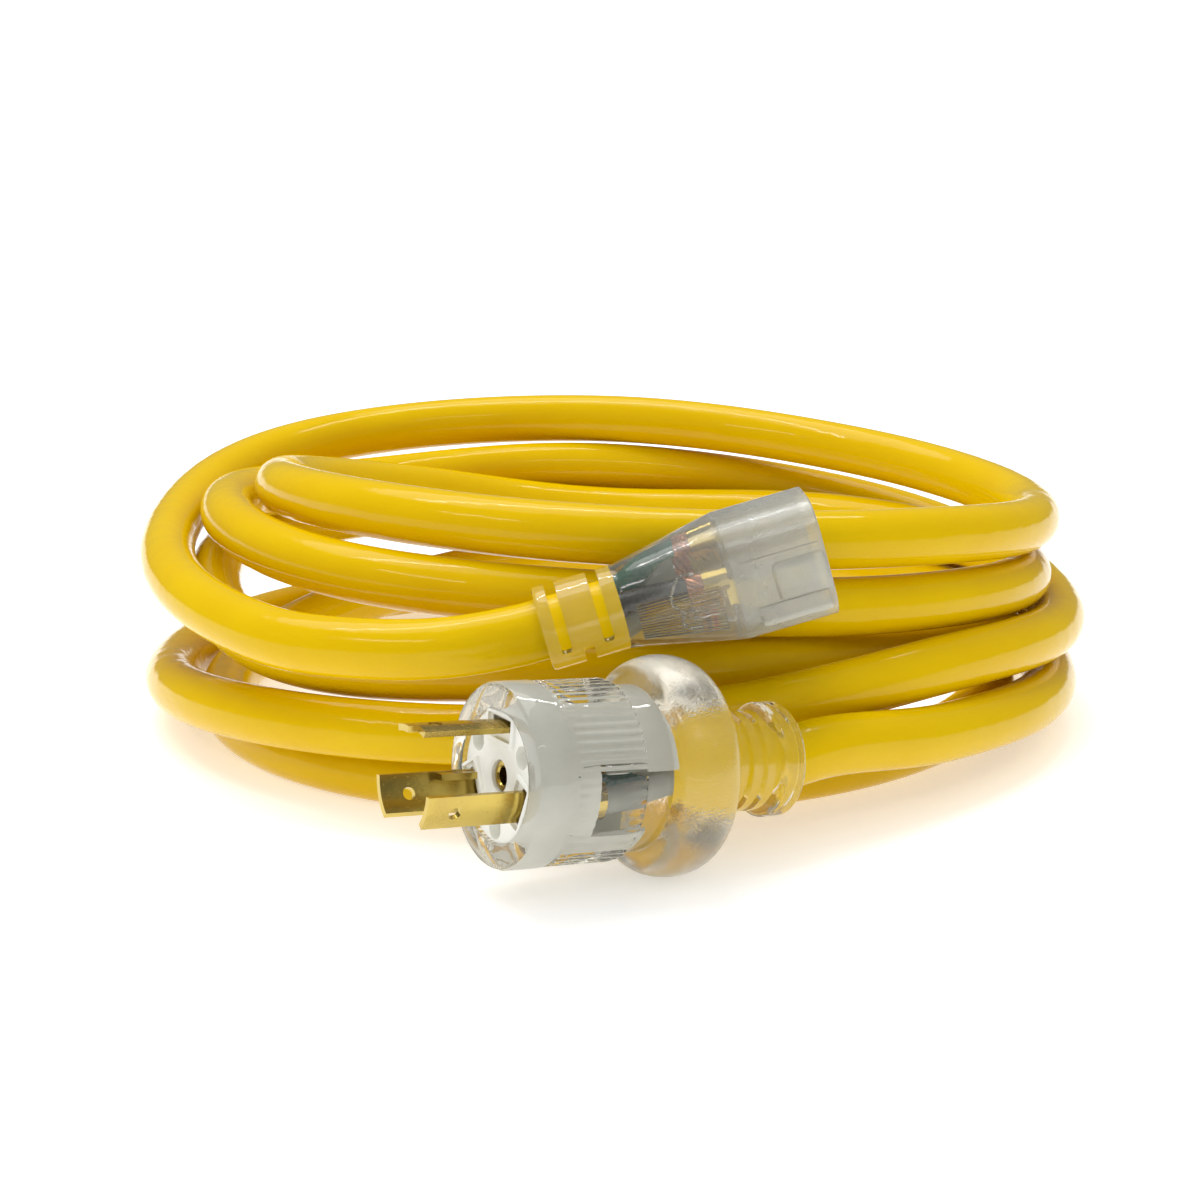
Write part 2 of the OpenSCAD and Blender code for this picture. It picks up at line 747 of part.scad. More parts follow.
cable_coil();
cable_plug_lead();
cable_outlet_lead();
plug_body();
plug_insert();
plug_line_blade();
plug_neutral_blade();
plug_ground_blade();
plug_line_wire();
plug_neutral_wire();
plug_ground_wire();
plug_wire_strands();
plug_jacket_end();
outlet_body();
outlet_insert();
outlet_line_contact();
outlet_neutral_contact();
outlet_ground_contact();
outlet_line_wire();
outlet_neutral_wire();
outlet_ground_wire();
outlet_wire_strands();
outlet_jacket_end();
lamp_bulb();
lamp_electrodes();
lamp_resistor();
lamp_leads();
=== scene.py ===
import math

import bpy
from mathutils import Matrix, Vector


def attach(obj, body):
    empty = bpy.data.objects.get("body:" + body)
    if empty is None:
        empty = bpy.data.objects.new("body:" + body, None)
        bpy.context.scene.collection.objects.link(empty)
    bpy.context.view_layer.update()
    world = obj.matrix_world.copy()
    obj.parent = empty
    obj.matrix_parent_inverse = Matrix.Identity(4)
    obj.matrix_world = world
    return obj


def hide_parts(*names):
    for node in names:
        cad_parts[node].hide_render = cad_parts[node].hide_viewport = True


bl_info = {
    "name": "Moulded power cord",
    "version": (1, 0, 0),
    "blender": (4, 5, 0),
    "location": "View3D > Sidebar > Power cord",
    "description": "Coiled yellow cord with a clear locking plug and a clear outlet",
    "category": "Add Mesh",
}

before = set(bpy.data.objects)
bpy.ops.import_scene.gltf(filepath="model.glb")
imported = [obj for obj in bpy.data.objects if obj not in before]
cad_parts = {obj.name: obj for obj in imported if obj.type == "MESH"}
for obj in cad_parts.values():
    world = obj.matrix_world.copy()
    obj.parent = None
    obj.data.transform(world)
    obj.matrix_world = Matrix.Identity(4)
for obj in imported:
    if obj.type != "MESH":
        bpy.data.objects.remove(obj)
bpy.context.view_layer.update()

MM = 0.001
SHARP = math.radians(32)


# ---- sizes and colours that a user would change ----
class CordSettings(bpy.types.PropertyGroup):
    diameter: bpy.props.FloatProperty(
        name="Jacket diameter", description="Outside diameter of the yellow jacket",
        default=15 * MM, min=10 * MM, max=20 * MM, unit="LENGTH")
    color: bpy.props.FloatVectorProperty(
        name="Jacket colour", description="Main colour of the jacket",
        default=(0.74, 0.49, 0.0), size=3, min=0, max=1, subtype="COLOR")
    shade: bpy.props.FloatVectorProperty(
        name="Jacket shade", description="Deeper colour in the jacket's faint clouds",
        default=(0.72, 0.46, 0.0), size=3, min=0, max=1, subtype="COLOR")


class MouldingSettings(bpy.types.PropertyGroup):
    tint: bpy.props.FloatVectorProperty(
        name="Clear tint", description="Tint of the clear vinyl",
        default=(0.98, 0.975, 0.91), size=3, min=0, max=1, subtype="COLOR")
    haze: bpy.props.FloatProperty(
        name="Haze", description="Share of milky scatter in the clear vinyl",
        default=0.03, min=0, max=1, subtype="FACTOR")
    flutes: bpy.props.IntProperty(
        name="Flutes", description="Number of flutes round the plug's grip band",
        default=60, min=12, max=90)
    flute_depth: bpy.props.FloatProperty(
        name="Flute depth", description="Depth of the flutes in the grip band",
        default=0.5 * MM, min=0.1 * MM, max=1 * MM, unit="LENGTH")


class MetalSettings(bpy.types.PropertyGroup):
    brass: bpy.props.FloatVectorProperty(
        name="Brass", description="Colour of the blades and contacts",
        default=(0.55, 0.41, 0.10), size=3, min=0, max=1, subtype="COLOR")
    copper: bpy.props.FloatVectorProperty(
        name="Copper", description="Colour of the bare strands",
        default=(0.80, 0.42, 0.28), size=3, min=0, max=1, subtype="COLOR")


# ---- where the two mouldings lie ----
def placed(origin, turn, lean):
    """Matrix that stands a piece made along +Z on the axis of its moulding."""
    return (Matrix.Translation(Vector(origin) * MM)
            @ Matrix.Rotation(math.radians(turn), 4, "Z")
            @ Matrix.Rotation(math.radians(90 + lean), 4, "Y")
            @ Matrix.Rotation(math.radians(90), 4, "Z"))


PLUG_YAW, PLUG_TILT = 30.5, 5.6
FLANGE_R, FLANGE_MID = 26.0, 44.0
PLUG_FACE = (-27.5, -23.2, FLANGE_R * math.cos(math.radians(PLUG_TILT))
             + FLANGE_MID * math.sin(math.radians(PLUG_TILT)))
OUTLET_END = (-17.7, 25.2, 52.0)
ON_PLUG = placed(PLUG_FACE, PLUG_YAW, PLUG_TILT)
ON_OUTLET = placed(OUTLET_END, 5.0, -15.5)
COIL_CENTRE = Vector((-3.7, 149.2, 0))

PLUG_LENGTH = 76.5
INSERT_R = 15.5
INSERT_BACK = 13.0
SHELL_BACK = 43.0
JACKET_AT = 44.0
BLADE_ANGLES = (90, 200, 330)
BLADE_SLITS = (8.4, 8.4, 10.2)
BLADE_CIRCLE_R = 12.1
DIMPLE_ANGLES = (30, 146, 268)
DIMPLE_R, DIMPLE_CIRCLE_R = 2.7, 12.0
PLUG_BARREL_R = 9
# name, angle of the crimp barrel, angle in the cord, colour of the insulation
PLUG_WIRES = (("line", 90, 90, "black"), ("neutral", 200, 210, "white"), ("ground", 330, 330, "green"))
WIRE_R, CORD_LAY_R = 2.4, 2.9
OUTLET_LENGTH = 69.5
HEAD_START = 47.0
HEAD_WIDTH, HEAD_HEIGHT, HEAD_CORNER = 28.0, 29.5, 8.5
BOOT_LENGTH, BOOT_R = 21.0, 10.6
SLOT_X, SLOT_DROP, SLOT_WIDTH, SLOT_HEIGHT, SLOT_BAR = 6.35, 3.5, 2.2, 8.4, 4.6
SLOT_MIDDLE, SLOT_DEPTH = 61, 20
SOCKET_R, SOCKET_RISE = 2.5, 8.4
BARREL_AT = 40.0
# name, place of the crimp barrel, angle in the cord, colour of the insulation
OUTLET_WIRES = (("line", (-6.35, 2.0), 160, "black"), ("neutral", (6.35, 2.0), 280, "white"),
                ("ground", (0.0, 8.4), 40, "green"))
LAMP = (-7.2, -3.6, 36.0)
RESISTOR = (-6.2, -7.6, 37.5)
RESISTOR_LENGTH = 6.0

# One row for each turn, an eighth of a turn apart: front left, left, rear left,
# rear, rear right, right, front right, front. Each pair is the reach from the
# coil's middle and the height of the cord's centre, in millimetres.
TURNS = (
    ((128, 44.5), (121.5, 51), (128, 59.5), (113, 63), (115, 58), (123, 55.5), (112, 65), (97, 69.5)),
    ((90, 70), (90.5, 64), (89, 50), (95, 36), (106, 38), (120.5, 40), (113, 48), (100, 53.5)),
    ((102, 56), (106, 58), (106, 49), (107, 48.5), (127, 38), (131, 28), (122, 33), (118, 24.5)),
    ((123, 20), (122, 11), (123, 8), (121, 6), (116.5, 6), (112, 6), (109, 6), (108, 6)),
    ((112, 6), (106, 6), (106, 12), (106, 20), (107.5, 22), (113, 24.5), (104, 33), (105, 37)),
    ((114, 34), (109, 41), (119, 36), (122, 33), (127, 22), (128, 12), (129, 17.5)),
)
OUTLET_LEAD = ((-66, -112.5, 44.8), (-50, -120, 45.6), (-36, -123.6, 47), (-23.6, -124.8, 49.3))
PLUG_LEAD = ((71.5, -110.5, 20.5), (62, -118.7, 22), (52.3, -126.3, 23.8))


# ---- material maths ----
class Field:
    """A value that a material works out at each point of a surface."""

    def __init__(self, tree, socket):
        self.tree, self.socket = tree, socket

    def _with(self, operation, first, second):
        node = self.tree.nodes.new("ShaderNodeMath")
        node.operation = operation
        for entry, value in zip(node.inputs, (first, second)):
            if isinstance(value, Field):
                self.tree.links.new(value.socket, entry)
            else:
                entry.default_value = value
        return Field(self.tree, node.outputs[0])

    def __add__(self, other): return self._with("ADD", self, other)
    def __radd__(self, other): return self._with("ADD", other, self)
    def __sub__(self, other): return self._with("SUBTRACT", self, other)
    def __rsub__(self, other): return self._with("SUBTRACT", other, self)
    def __mul__(self, other): return self._with("MULTIPLY", self, other)
    def __rmul__(self, other): return self._with("MULTIPLY", other, self)


class Finish:
    def __init__(self, name):
        self.material = bpy.data.materials.new(name)
        self.material.use_nodes = True
        self.tree = self.material.node_tree
        self.tree.nodes.clear()
        self.output = self.tree.nodes.new("ShaderNodeOutputMaterial")

    def fill(self, entry, value):
        if isinstance(value, Field):
            self.tree.links.new(value.socket, entry)
        elif entry.type == "RGBA":
            entry.default_value = (*tuple(value)[:3], 1.0)
        else:
            entry.default_value = value

    def node(self, kind, settings=(), inputs=(), output=0):
        made = self.tree.nodes.new(kind)
        for name, value in dict(settings).items():
            if name == "stops":
                ramp = made.color_ramp
                for _ in range(len(value) - 2):
                    ramp.elements.new(0.5)
                for element, (at, color) in zip(ramp.elements, value):
                    element.position = at
                    element.color = tuple(color) + (1.0,)
            else:
                setattr(made, name, value)
        for name, value in dict(inputs).items():
            self.fill(made.inputs[name], value)
        return Field(self.tree, made.outputs[output])

    def place(self, on=None):
        """Object coordinates, or coordinates along a moulding's own axis."""
        here = self.node("ShaderNodeTexCoord", output=3)
        if on is None:
            return here
        back = on.inverted()
        return self.node("ShaderNodeMapping", {"vector_type": "POINT"}, {
            "Vector": here, "Location": tuple(back.to_translation()),
            "Rotation": tuple(back.to_euler()), "Scale": (1, 1, 1)})

    def parts(self, vector):
        split = self.tree.nodes.new("ShaderNodeSeparateXYZ")
        self.tree.links.new(vector.socket, split.inputs[0])
        return [Field(self.tree, s) for s in split.outputs]

    def noise(self, where, scale, detail=3.0, rough=0.5, stretch=None):
        if stretch is not None:
            where = self.node("ShaderNodeMapping", {}, {"Vector": where, "Scale": stretch})
        return self.node("ShaderNodeTexNoise", {}, {
            "Vector": where, "Scale": scale, "Detail": detail, "Roughness": rough})

    def spread(self, value, low, high, to_low, to_high):
        return self.node("ShaderNodeMapRange", {"clamp": True}, {
            "Value": value, "From Min": low, "From Max": high, "To Min": to_low, "To Max": to_high})

    def mix(self, share, first, second):
        made = self.tree.nodes.new("ShaderNodeMix")
        made.data_type = "RGBA"
        self.fill(made.inputs[0], share)
        self.fill(made.inputs[6], first)
        self.fill(made.inputs[7], second)
        return Field(self.tree, made.outputs[2])

    def bump(self, height, strength, distance):
        return self.node("ShaderNodeBump", {}, {
            "Height": height, "Strength": strength, "Distance": distance})

    def shader(self, **values):
        sockets = {name.replace("_", " "): value for name, value in values.items()}
        return self.node("ShaderNodeBsdfPrincipled", {}, sockets)

    def finish(self, shader):
        self.tree.links.new(shader.socket, self.output.inputs[0])
        return self.material


def jacket_finish(name, cord, glow):
    """Glossy yellow vinyl. Inside a moulding it gets a painted glow in its own colour, emission that stands
    in for the light that the clear vinyl gathers."""
    f = Finish(name)
    where = f.place()
    cloud = f.spread(f.noise(where, 34), 0.35, 0.65, 0, 1)
    grain = f.noise(where, 900, 2)
    wave = f.noise(where, 130, 2)
    normal = f.bump(wave + grain * 0.06, 0.35, 0.0006)
    return f.finish(f.shader(
        Base_Color=f.mix(cloud, cord.color, cord.shade),
        Roughness=f.spread(grain, 0.3, 0.7, 0.09, 0.14),
        IOR=1.5, Specular_IOR_Level=0.17, Normal=normal,
        Emission_Color=tuple(cord.color), Emission_Strength=glow))


def clear_finish(name, moulding, on, frost, milk):
    """Clear vinyl, frosted where frost() gives 1 from the place along the moulding, and milky
    there by the share milk."""
    f = Finish(name)
    where = f.place(on)
    speckle = f.noise(where, 1500, 2)
    swirl = f.noise(where, 160, 3)
    cover = frost(f, f.parts(where)[2])
    rough = f.spread(speckle, 0.3, 0.7, 0.02, 0.05) + cover * 0.12
    normal = f.bump(swirl * 0.4 + speckle * (cover * 0.3), 0.35, 0.0009)
    clear = f.shader(Base_Color=tuple(moulding.tint), Roughness=rough, IOR=1.5,
                     Transmission_Weight=1.0, Normal=normal)
    milky = f.shader(Base_Color=(0.90, 0.89, 0.78), Roughness=f.spread(speckle, 0.3, 0.7, 0.25, 0.4),
                     Coat_Weight=0.3, Normal=normal)
    share = f.spread(swirl, 0.3, 0.7, moulding.haze * 0.6, moulding.haze * 1.4) + cover * milk
    return f.finish(f.node("ShaderNodeMixShader", {}, {0: share, 1: clear, 2: milky}))


def satin_finish(name, color, deep, rough=0.42):
    """Smooth moulded plastic with faint clouds of a deeper colour."""
    f = Finish(name)
    where = f.place()
    speck = f.noise(where, 1800, 2)
    cloud = f.noise(where, 140, 3)
    return f.finish(f.shader(
        Base_Color=f.mix(f.spread(cloud, 0.3, 0.7, 0, 1), color, deep),
        Roughness=f.spread(speck, 0.3, 0.7, rough - 0.07, rough + 0.08),
        Normal=f.bump(speck, 0.15, 0.0003)))


def brass_finish(metal):
    f = Finish("pressed_brass")
    where = f.place()
    tarnish = f.spread(f.noise(where, 70, 3, 0.5), 0.45, 0.75, 0, 0.7)
    drawn = f.noise(where, 260, 3, 0.6, stretch=(1, 6, 6))
    pits = f.noise(where, 2200, 2)
    return f.finish(f.shader(
        Base_Color=f.mix(tarnish, tuple(metal.brass), (0.42, 0.29, 0.09)),
        Metallic=1.0,
        Roughness=f.spread(drawn, 0.3, 0.7, 0.20, 0.28) + tarnish * 0.05,
        Normal=f.bump(drawn + pits * 0.1, 0.12, 0.0002)))


def copper_finish(metal):
    f = Finish("bare_copper")
    where = f.place()
    dull = f.noise(where, 500, 3)
    return f.finish(f.shader(
        Base_Color=f.mix(f.spread(dull, 0.3, 0.7, 0, 1), tuple(metal.copper), (0.52, 0.20, 0.10)),
        Metallic=1.0, Roughness=f.spread(dull, 0.3, 0.7, 0.22, 0.4),
        Normal=f.bump(dull, 0.2, 0.0002)))


def tinned_finish():
    f = Finish("tinned_wire")
    where = f.place()
    dull = f.noise(where, 700, 3)
    return f.finish(f.shader(
        Base_Color=f.mix(dull, (0.72, 0.71, 0.68), (0.50, 0.49, 0.46)),
        Metallic=1.0, Roughness=f.spread(dull, 0.3, 0.7, 0.2, 0.35),
        Normal=f.bump(dull, 0.2, 0.0002)))


def lamp_finish():
    f = Finish("lamp_glass")
    where = f.place()
    drift = f.noise(where, 400, 2)
    return f.finish(f.shader(
        Base_Color=f.mix(drift, (1.0, 0.97, 0.93), (0.98, 0.92, 0.86)),
        Roughness=f.spread(drift, 0, 1, 0.01, 0.04), IOR=1.48, Transmission_Weight=1.0))


def resistor_finish():
    f = Finish("resistor_lacquer")
    along = f.parts(f.place(ON_OUTLET))[2]
    bands = f.node("ShaderNodeValToRGB", {"stops": (
        (0.0, (0.70, 0.34, 0.05)), (0.30, (0.16, 0.05, 0.02)), (0.42, (0.72, 0.36, 0.05)),
        (0.55, (0.62, 0.05, 0.02)), (0.66, (0.72, 0.36, 0.05)), (0.80, (0.55, 0.40, 0.10)))},
        {0: f.spread(along, RESISTOR[2] * MM, (RESISTOR[2] + RESISTOR_LENGTH) * MM, 0, 1)})
    return f.finish(f.shader(Base_Color=bands, Roughness=0.25, Coat_Weight=0.5,
                             Normal=f.bump(f.noise(f.place(), 900, 2), 0.15, 0.0002)))


def carrier_finish():
    """Cloudy plastic round the outlet's contacts."""
    f = Finish("carrier_plastic")
    where = f.place(ON_OUTLET)
    speck = f.noise(where, 700, 2)
    cloud = f.noise(where, 180, 3)
    normal = f.bump(cloud + speck * 0.1, 0.25, 0.0006)
    clear = f.shader(Base_Color=(0.95, 0.95, 0.90), Roughness=f.spread(speck, 0.3, 0.7, 0.12, 0.24),
                     IOR=1.45, Transmission_Weight=1.0, Normal=normal)
    milky = f.shader(Base_Color=(0.80, 0.80, 0.70), Roughness=f.spread(speck, 0.3, 0.7, 0.4, 0.5),
                     Normal=normal)
    return f.finish(f.node("ShaderNodeMixShader", {}, {
        0: f.spread(cloud, 0.3, 0.7, 0.16, 0.36), 1: clear, 2: milky}))


def plug_frost(f, along):
    """Frosted on the flange only."""
    return f.spread(along, 34 * MM, 38 * MM, 0, 1) * f.spread(along, 51 * MM, 54 * MM, 1, 0)


def outlet_frost(f, along):
    """Frosted over the head, and less so towards the boot."""
    return f.spread(along, 22 * MM, 58 * MM, 0.05, 0.8)


FINISHES = {}
NODE_FINISH = {
    "cable_coil": "jacket", "cable_plug_lead": "jacket", "cable_outlet_lead": "jacket",
    "plug_jacket_end": "jacket_end", "outlet_jacket_end": "jacket_end",
    "plug_body": "plug_clear", "outlet_body": "outlet_clear",
    "plug_insert": "insert", "outlet_insert": "carrier",
    "plug_line_blade": "brass", "plug_neutral_blade": "brass", "plug_ground_blade": "brass",
    "outlet_line_contact": "brass", "outlet_neutral_contact": "brass", "outlet_ground_contact": "brass",
    "plug_line_wire": "black", "plug_neutral_wire": "white", "plug_ground_wire": "green",
    "outlet_line_wire": "black", "outlet_neutral_wire": "white", "outlet_ground_wire": "green",
    "plug_wire_strands": "copper", "outlet_wire_strands": "copper",
    "lamp_bulb": "lamp", "lamp_electrodes": "tinned", "lamp_leads": "tinned", "lamp_resistor": "resistor",
}


def dress(piece, finish, slot, *replaced):
    """Gives a finished piece its material and its body, and hides the nodes it stands for. Its slot is not
    used.
    """
    piece.data.materials.clear()
    piece.data.materials.append(FINISHES[finish])
    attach(piece, "root")
    if replaced:
        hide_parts(*replaced)
    return piece


# ---- modelling helpers ----
def clear_selection():
    if bpy.context.object and bpy.context.object.mode != "OBJECT":
        bpy.ops.object.mode_set(mode="OBJECT")
    bpy.ops.object.select_all(action="DESELECT")


def only(piece):
    """Makes a piece the active one and the only one selected."""
    clear_selection()
    piece.select_set(True)
    bpy.context.view_layer.objects.active = piece
    return piece


def set_down(piece, name, matrix):
    """Names a piece, moves it onto its moulding and leaves its place in its mesh."""
    only(piece)
    piece.name = piece.data.name = name
    piece.matrix_world = matrix @ piece.matrix_world
    bpy.ops.object.transform_apply(location=True, rotation=True, scale=True)
    bpy.ops.object.shade_smooth_by_angle(angle=SHARP)
    return piece


def outward(piece):
    """Merges a piece's doubled points and turns its faces outwards."""
    only(piece)
    bpy.ops.object.mode_set(mode="EDIT")
    bpy.ops.mesh.select_all(action="SELECT")
    bpy.ops.mesh.remove_doubles(threshold=1e-7)
    bpy.ops.mesh.normals_make_consistent(inside=False)
    bpy.ops.object.mode_set(mode="OBJECT")
    return piece


def turned(outline, sides):
    """A closed piece turned about Z. outline holds (radius, height) in millimetres, and
    its two ends are closed with a fan to the axis."""
    clear_selection()
    radius, height = outline[0]
    bpy.ops.mesh.primitive_circle_add(vertices=sides, radius=radius * MM, fill_type="TRIFAN",
                                      location=(0, 0, 0))
    piece = bpy.context.object
    bpy.ops.object.mode_set(mode="EDIT")
    bpy.ops.mesh.select_all(action="SELECT")
    bpy.ops.transform.translate(value=(0, 0, height * MM))
    bpy.ops.mesh.select_mode(type="EDGE")
    bpy.ops.mesh.region_to_loop()
    for wide, high in outline[1:]:
        bpy.ops.mesh.extrude_region_move(TRANSFORM_OT_translate={"value": (0, 0, (high - height) * MM)})
        if abs(wide - radius) > 1e-6:
            bpy.ops.transform.resize(value=(wide / radius, wide / radius, 1),
                                     center_override=(0, 0, high * MM))
        radius, height = wide, high
    bpy.ops.mesh.extrude_region_move(TRANSFORM_OT_translate={"value": (0, 0, 0)})
    bpy.ops.mesh.merge(type="CENTER")
    bpy.ops.object.mode_set(mode="OBJECT")
    return outward(piece)


def pick(piece, wanted, mode="VERT"):
    """In edit mode, selects what the test wanted() accepts by its place."""
    bpy.ops.object.mode_set(mode="OBJECT")
    mesh = piece.data
    for group in (mesh.vertices, mesh.edges, mesh.polygons):
        group.foreach_set("select", [False] * len(group))
    if mode == "FACE":
        for face in mesh.polygons:
            face.select = wanted(face)
    elif mode == "EDGE":
        for edge in mesh.edges:
            a, b = (mesh.vertices[i].co for i in edge.vertices)
            edge.select = wanted(a, b)
    else:
        for vertex in mesh.vertices:
            vertex.select = wanted(vertex.co)
    bpy.context.tool_settings.mesh_select_mode = (mode == "VERT", mode == "EDGE", mode == "FACE")
    bpy.ops.object.mode_set(mode="EDIT")
    bpy.ops.mesh.select_mode(type=mode)


def block(size, at, corner=0.0, segments=3):
    """A cuboid with all its edges rounded."""
    clear_selection()
    bpy.ops.mesh.primitive_cube_add(size=1, location=(0, 0, 0))
    piece = bpy.context.object
    bpy.ops.object.mode_set(mode="EDIT")
    bpy.ops.mesh.select_all(action="SELECT")
    bpy.ops.transform.resize(value=tuple(s * MM for s in size), center_override=(0, 0, 0))
    if corner:
        bpy.ops.mesh.bevel(offset=corner * MM, segments=segments, affect="EDGES")
    bpy.ops.mesh.select_all(action="SELECT")
    bpy.ops.transform.translate(value=tuple(a * MM for a in at))
    bpy.ops.object.mode_set(mode="OBJECT")
    return piece


def cut(piece, tool, how="DIFFERENCE"):
    """Takes the tool out of a piece, or adds it, and removes the tool."""
    only(piece)
    carve = piece.modifiers.new("cut", "BOOLEAN")
    carve.operation, carve.object, carve.solver = how, tool, "EXACT"
    bpy.ops.object.modifier_apply(modifier=carve.name)
    mesh = tool.data
    bpy.data.objects.remove(tool)
    bpy.data.meshes.remove(mesh)
    return piece


def copied(piece):
    """A copy of a piece with a mesh of its own."""
    twin = piece.copy()
    twin.data = piece.data.copy()
    bpy.context.scene.collection.objects.link(twin)
    return twin


def around(radius, angle, height):
    """A point at a radius and an angle in degrees about Z."""
    return (radius * math.cos(math.radians(angle)), radius * math.sin(math.radians(angle)), height)


def joined(pieces):
    """Joins pieces into the first of them."""
    clear_selection()
    for piece in pieces:
        piece.select_set(True)
    bpy.context.view_layer.objects.active = pieces[0]
    bpy.ops.object.join()
    return pieces[0]


def wire_run(points, radius, sides=20):
    """A round wire through points in millimetres, as a closed mesh."""
    clear_selection()
    data = bpy.data.curves.new("run", "CURVE")
    data.dimensions = "3D"
    spline = data.splines.new("POLY")
    spline.points.add(len(points) - 1)
    for entry, point in zip(spline.points, points):
        entry.co = (*(Vector(point) * MM), 1)
    data.bevel_depth = radius * MM
    data.bevel_resolution = max(0, sides // 2 - 2)
    data.use_fill_caps = True
    piece = bpy.data.objects.new("run", data)
    bpy.context.scene.collection.objects.link(piece)
    only(piece)
    bpy.ops.object.convert(target="MESH")
    return outward(bpy.context.object)


# ---- the cord's route ----
def through(points, steps):
    """A smooth line through points, with steps stretches between each two."""
    ends = [points[0] * 2 - points[1], *points, points[-1] * 2 - points[-2]]
    line = []
    for i in range(1, len(ends) - 2):
        a, b, c, d = ends[i - 1:i + 3]
        for k in range(steps):
            t = k / steps
            line.append(b + 0.5 * t * ((c - a) + t * ((2 * a - 5 * b + 4 * c - d)
                                                      + t * (3 * (b - c) + d - a))))
    return line + [points[-1]]


def cord_route():
    """Centre line from the plug's relief to the outlet's boot, in millimetres."""
    stations = [Vector(p) for turn in TURNS for p in turn]
    floor = 7.5
    coil = [COIL_CENTRE + Vector(around(reach, 225 - 7.5 * i, max(height, floor)))
            for i, (reach, height) in enumerate(through(stations, 6))]
    plug_axis = ON_PLUG.to_3x3() @ Vector((0, 0, 1))
    outlet_axis = ON_OUTLET.to_3x3() @ Vector((0, 0, 1))
    plug_end = ON_PLUG.to_translation() / MM + plug_axis * PLUG_LENGTH
    boot_end = Vector(OUTLET_END)
    coil_in = coil[0] - 15 * (coil[1] - coil[0]).normalized()
    coil_out = coil[-1] + 15 * (coil[-1] - coil[-2]).normalized()
    lead = [boot_end, *(COIL_CENTRE + Vector(p) for p in reversed(OUTLET_LEAD)), coil_in]
    tail = [coil_out, *(COIL_CENTRE + Vector(p) for p in PLUG_LEAD), plug_end]
    line = through(lead, 6)[:-1] + coil + through(tail, 6)
    even = respaced(line[::-1], 4.0)
    start, last = even[0].copy(), even[-1].copy()
    for _ in range(12):
        even = [even[0]] + [(even[i - 1] + 2 * even[i] + even[i + 1]) / 4
                            for i in range(1, len(even) - 1)] + [even[-1]]
        even[1] = start + plug_axis * 4.0
        even[-2] = last - outlet_axis * 4.0
    return [Vector((p.x, p.y, max(p.z, floor))) for p in even]


def respaced(line, step):
    """The same line with its points about one step apart."""
    spans = [(b - a).length for a, b in zip(line, line[1:])]
    count = round(sum(spans) / step)
    pitch, out, gone, i = sum(spans) / count, [line[0]], 0.0, 0
    for k in range(1, count):
        while gone + spans[i] < k * pitch:
            gone += spans[i]
            i += 1
        out.append(line[i].lerp(line[i + 1], (k * pitch - gone) / spans[i]))
    return out + [line[-1]]


# ---- one operator for each piece ----
class PieceOperator:
    bl_options = {"REGISTER", "UNDO"}


class POWERCORD_OT_camera(PieceOperator, bpy.types.Operator):
    """Camera in front of the coil, looking slightly down"""
    bl_idname = "powercord.camera"
    bl_label = "Camera"

    def execute(self, context):
        clear_selection()
        bpy.ops.object.camera_add(location=(COIL_CENTRE + Vector((0, -760, 212))) * MM,
                                  rotation=(math.radians(76.5), 0, 0))
        camera = context.object
        camera.name = "camera"
        camera.data.sensor_width = 36
        camera.data.lens = 81.87
        camera.data.clip_start = 0.01
        context.scene.camera = camera
        return {"FINISHED"}


class POWERCORD_OT_finishes(PieceOperator, bpy.types.Operator):
    """All the materials"""
    bl_idname = "powercord.finishes"
    bl_label = "Finishes"

    def execute(self, context):
        cord, moulding, metal = (context.scene.powercord_cord, context.scene.powercord_moulding,
                                 context.scene.powercord_metal)
        FINISHES["jacket"] = jacket_finish("yellow_jacket", cord, 0.0)
        # the jacket ends inside the mouldings get a painted glow of strength 0.35, painted light in place of
        # light through the vinyl
        FINISHES["jacket_end"] = jacket_finish("yellow_jacket_end", cord, 0.35)
        FINISHES["plug_clear"] = clear_finish("plug_clear_vinyl", moulding, ON_PLUG, plug_frost, 0.05)
        FINISHES["outlet_clear"] = clear_finish("outlet_clear_vinyl", moulding, ON_OUTLET, outlet_frost, 0.35)
        FINISHES["insert"] = satin_finish("white_insert", (0.90, 0.90, 0.84), (0.84, 0.84, 0.78))
        FINISHES["black"] = satin_finish("black_insulation", (0.012, 0.012, 0.014), (0.03, 0.03, 0.034), 0.3)
        # the white insulation is painted mid grey: painted shade for its dim place inside the mouldings
        FINISHES["white"] = satin_finish("white_insulation", (0.46, 0.47, 0.43), (0.38, 0.39, 0.36), 0.35)
        FINISHES["green"] = satin_finish("green_insulation", (0.035, 0.19, 0.15), (0.02, 0.13, 0.11), 0.3)
        FINISHES["brass"] = brass_finish(metal)
        FINISHES["copper"] = copper_finish(metal)
        FINISHES["tinned"] = tinned_finish()
        FINISHES["lamp"] = lamp_finish()
        FINISHES["resistor"] = resistor_finish()
        FINISHES["carrier"] = carrier_finish()
        for name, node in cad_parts.items():
            node.data.materials.clear()
            node.data.materials.append(FINISHES[NODE_FINISH[name]])
        return {"FINISHED"}


class POWERCORD_OT_cord(PieceOperator, bpy.types.Operator):
    """The yellow cord, in one loose coil from the plug to the outlet"""
    bl_idname = "powercord.cord"
    bl_label = "Cord"

    def execute(self, context):
        route = cord_route()
        clear_selection()
        data = bpy.data.curves.new("cord", "CURVE")
        data.dimensions = "3D"
        spline = data.splines.new("POLY")
        spline.points.add(len(route) - 1)
        for entry, point in zip(spline.points, route):
            entry.co = (*(point * MM), 1)
        data.bevel_depth = context.scene.powercord_cord.diameter / 2
        data.bevel_resolution = 12
        cord = bpy.data.objects.new("cord", data)
        context.scene.collection.objects.link(cord)
        dress(cord, "jacket", "yellow_jacket", "cable_coil", "cable_plug_lead", "cable_outlet_lead")
        return {"FINISHED"}


